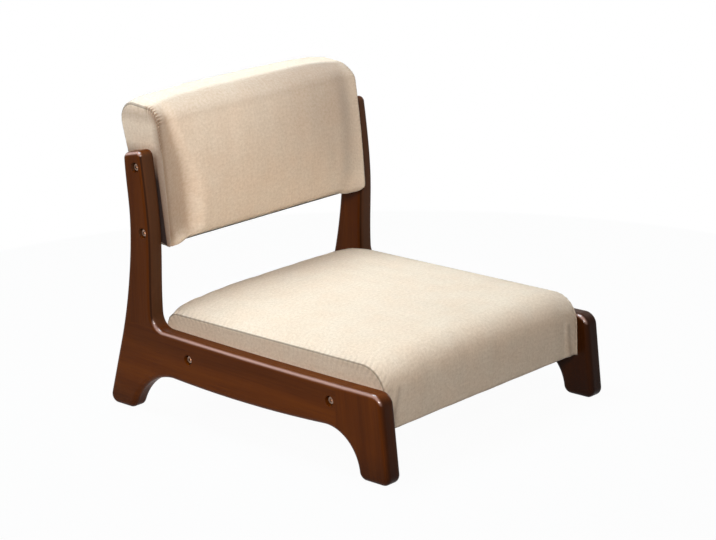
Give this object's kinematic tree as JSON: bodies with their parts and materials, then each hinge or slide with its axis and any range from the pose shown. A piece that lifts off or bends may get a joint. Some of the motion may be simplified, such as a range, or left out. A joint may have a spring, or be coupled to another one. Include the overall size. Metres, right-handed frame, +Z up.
{
  "type": "floor chair",
  "caption": "Low wooden floor chair with short curved feet: shaped side frames carry a padded seat and a leaning padded back, held by recessed bolts.",
  "frame": {"origin": "on the floor, in the middle of the box round the chair", "axes": "+X to the sitter's left, the chair faces -Y, +Z up"},
  "size_m": [0.48, 0.558, 0.4691],
  "materials": {
    "walnut_stain": "walnut-stained solid wood, semi-gloss lacquer",
    "softwood": "bare sawn softwood",
    "plywood": "bare plywood",
    "foam": "open-cell polyurethane foam",
    "upholstery": "plain-weave beige cloth",
    "dust_cloth": "black non-woven cloth",
    "zinc_steel": "zinc plated",
    "insert_brass": "turned"
  },
  "bodies": {
    "root": {"back_board": "plywood", "back_bolts": "zinc_steel", "back_cover": "upholstery", "back_cover_left_side": "upholstery", "back_cover_right_side": "upholstery", "back_dust_cloth": "dust_cloth", "back_foam": "foam", "back_left_plate": "softwood", "back_lower_rail": "softwood", "back_right_plate": "softwood", "back_upper_rail": "softwood", "flat_washers": "zinc_steel", "left_back_post": "walnut_stain", "left_front_leg": "walnut_stain", "left_side_rail": "walnut_stain", "leg_dowels": "softwood", "post_dowels": "softwood", "right_back_post": "walnut_stain", "right_front_leg": "walnut_stain", "right_side_rail": "walnut_stain", "seat_board": "plywood", "seat_bolts": "zinc_steel", "seat_cover": "upholstery", "seat_cover_left_side": "upholstery", "seat_cover_right_side": "upholstery", "seat_dust_cloth": "dust_cloth", "seat_foam": "foam", "seat_front_batten": "softwood", "seat_left_batten": "softwood", "seat_rear_batten": "softwood", "seat_right_batten": "softwood", "spring_washers": "zinc_steel", "threaded_inserts": "insert_brass"}
  },
  "joints": []
}
